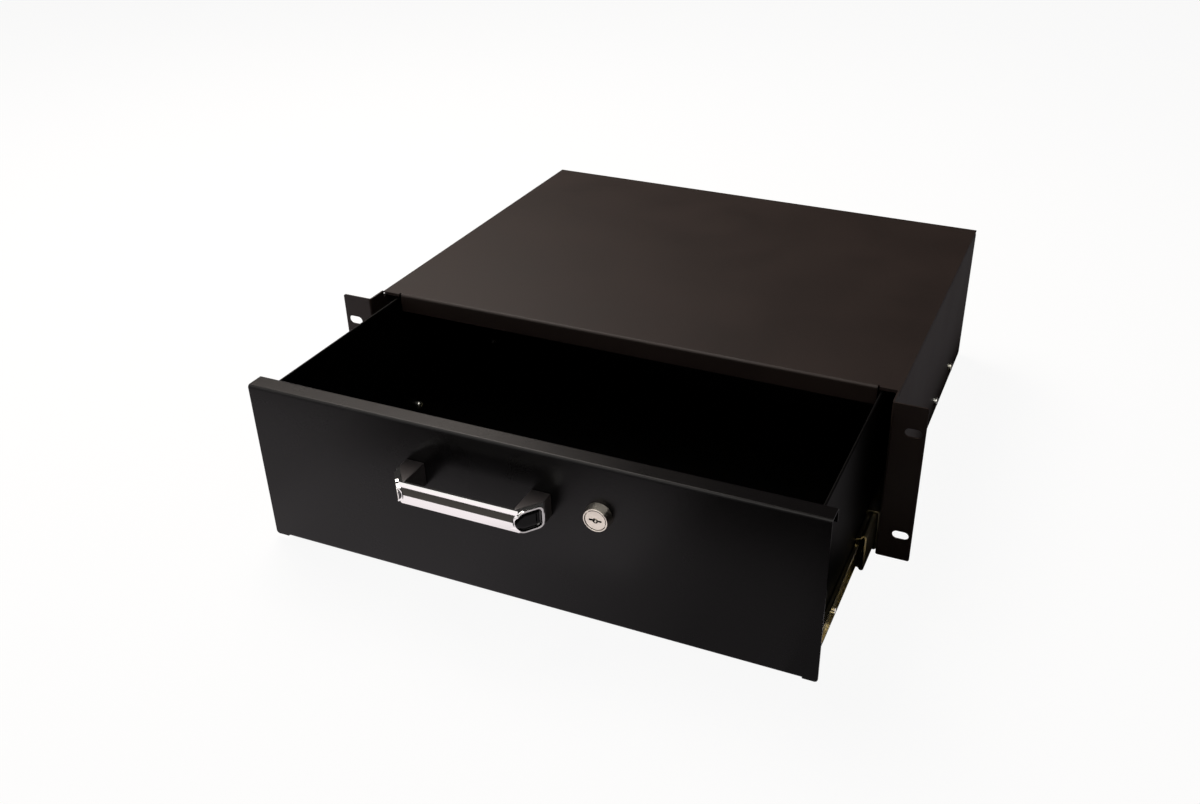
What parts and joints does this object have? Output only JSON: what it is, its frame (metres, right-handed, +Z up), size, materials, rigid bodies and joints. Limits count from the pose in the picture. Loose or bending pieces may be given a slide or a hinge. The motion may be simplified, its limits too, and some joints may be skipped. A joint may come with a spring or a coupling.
{
  "type": "sliding rack drawer",
  "caption": "Rack drawer in a steel case with slotted ears: ball-bearing telescopic slides, pull handle with a chromed band and a cam lock.",
  "frame": {"origin": "centre of the four rack slots, on the front face of the rack ears", "axes": "+X to the right seen from the front, +Y to the back of the case, +Z up; the drawer opens along -Y"},
  "size_m": [0.4826, 0.5305, 0.1324],
  "materials": {
    "case_paint": "satin powder coat",
    "drawer_paint": "satin powder coat",
    "front_paint": "satin powder coat",
    "slide_steel": "zinc plated",
    "cage_steel": "zinc plated",
    "ball_steel": "polished",
    "bumper_rubber": "matt",
    "screw_steel": "zinc plated",
    "handle_plastic": "satin",
    "handle_chrome": "polished",
    "lock_nickel": "nickel plated",
    "cam_steel": "zinc plated"
  },
  "bodies": {
    "case": {"left_side_panel": "case_paint", "right_side_panel": "case_paint", "top_cover": "case_paint", "floor_panel": "case_paint", "rear_panel": "case_paint", "left_outer_member": "slide_steel", "right_outer_member": "slide_steel", "left_closing_bumper": "bumper_rubber", "right_closing_bumper": "bumper_rubber", "slide_case_screws": "screw_steel", "slide_case_washers": "screw_steel"},
    "drawer": {"drawer_tray": "drawer_paint", "drawer_rear_wall": "drawer_paint", "drawer_front_panel": "front_paint", "left_inner_member": "slide_steel", "right_inner_member": "slide_steel", "slide_drawer_screws": "screw_steel", "handle_grip": "handle_chrome", "left_handle_leg": "handle_plastic", "right_handle_leg": "handle_plastic", "handle_screws": "screw_steel", "handle_washers": "screw_steel", "lock_body": "lock_nickel", "lock_nut": "lock_nickel"},
    "left_middle": {"left_middle_member": "slide_steel"},
    "right_middle": {"right_middle_member": "slide_steel"},
    "left_outer_bearing": {"left_outer_ball_cage": "cage_steel", "left_outer_balls": "ball_steel"},
    "right_outer_bearing": {"right_outer_ball_cage": "cage_steel", "right_outer_balls": "ball_steel"},
    "left_inner_bearing": {"left_inner_ball_cage": "cage_steel", "left_inner_balls": "ball_steel"},
    "right_inner_bearing": {"right_inner_ball_cage": "cage_steel", "right_inner_balls": "ball_steel"},
    "lock_rotor": {"lock_plug": "lock_nickel", "lock_cam": "cam_steel", "lock_cam_screw": "screw_steel"}
  },
  "joints": [
    {"name": "drawer_slide", "type": "slide", "parent": "case", "child": "drawer", "axis": [0, -1, 0], "range_m": [-0.1525, 0.1475]},
    {"name": "left_middle_slide", "type": "slide", "parent": "case", "child": "left_middle", "axis": [0, -1, 0], "range_m": [-0.07625, 0.07375]},
    {"name": "right_middle_slide", "type": "slide", "parent": "case", "child": "right_middle", "axis": [0, -1, 0], "range_m": [-0.07625, 0.07375]},
    {"name": "left_outer_bearing_slide", "type": "slide", "parent": "case", "child": "left_outer_bearing", "axis": [0, -1, 0], "range_m": [-0.03812, 0.03687]},
    {"name": "right_outer_bearing_slide", "type": "slide", "parent": "case", "child": "right_outer_bearing", "axis": [0, -1, 0], "range_m": [-0.03812, 0.03687]},
    {"name": "left_inner_bearing_slide", "type": "slide", "parent": "case", "child": "left_inner_bearing", "axis": [0, -1, 0], "range_m": [-0.11438, 0.11063]},
    {"name": "right_inner_bearing_slide", "type": "slide", "parent": "case", "child": "right_inner_bearing", "axis": [0, -1, 0], "range_m": [-0.11438, 0.11063]},
    {"name": "lock_turn", "type": "hinge", "parent": "drawer", "child": "lock_rotor", "pos_m": [0.0597, -0.1589, 0.02775], "axis": [0, -1, 0], "range_deg": [0, 90]}
  ],
  "couplings": [
    {"joint": "left_middle_slide", "follows": "drawer_slide", "ratio": 0.5},
    {"joint": "right_middle_slide", "follows": "drawer_slide", "ratio": 0.5},
    {"joint": "left_outer_bearing_slide", "follows": "drawer_slide", "ratio": 0.25},
    {"joint": "right_outer_bearing_slide", "follows": "drawer_slide", "ratio": 0.25},
    {"joint": "left_inner_bearing_slide", "follows": "drawer_slide", "ratio": 0.75},
    {"joint": "right_inner_bearing_slide", "follows": "drawer_slide", "ratio": 0.75}
  ]
}
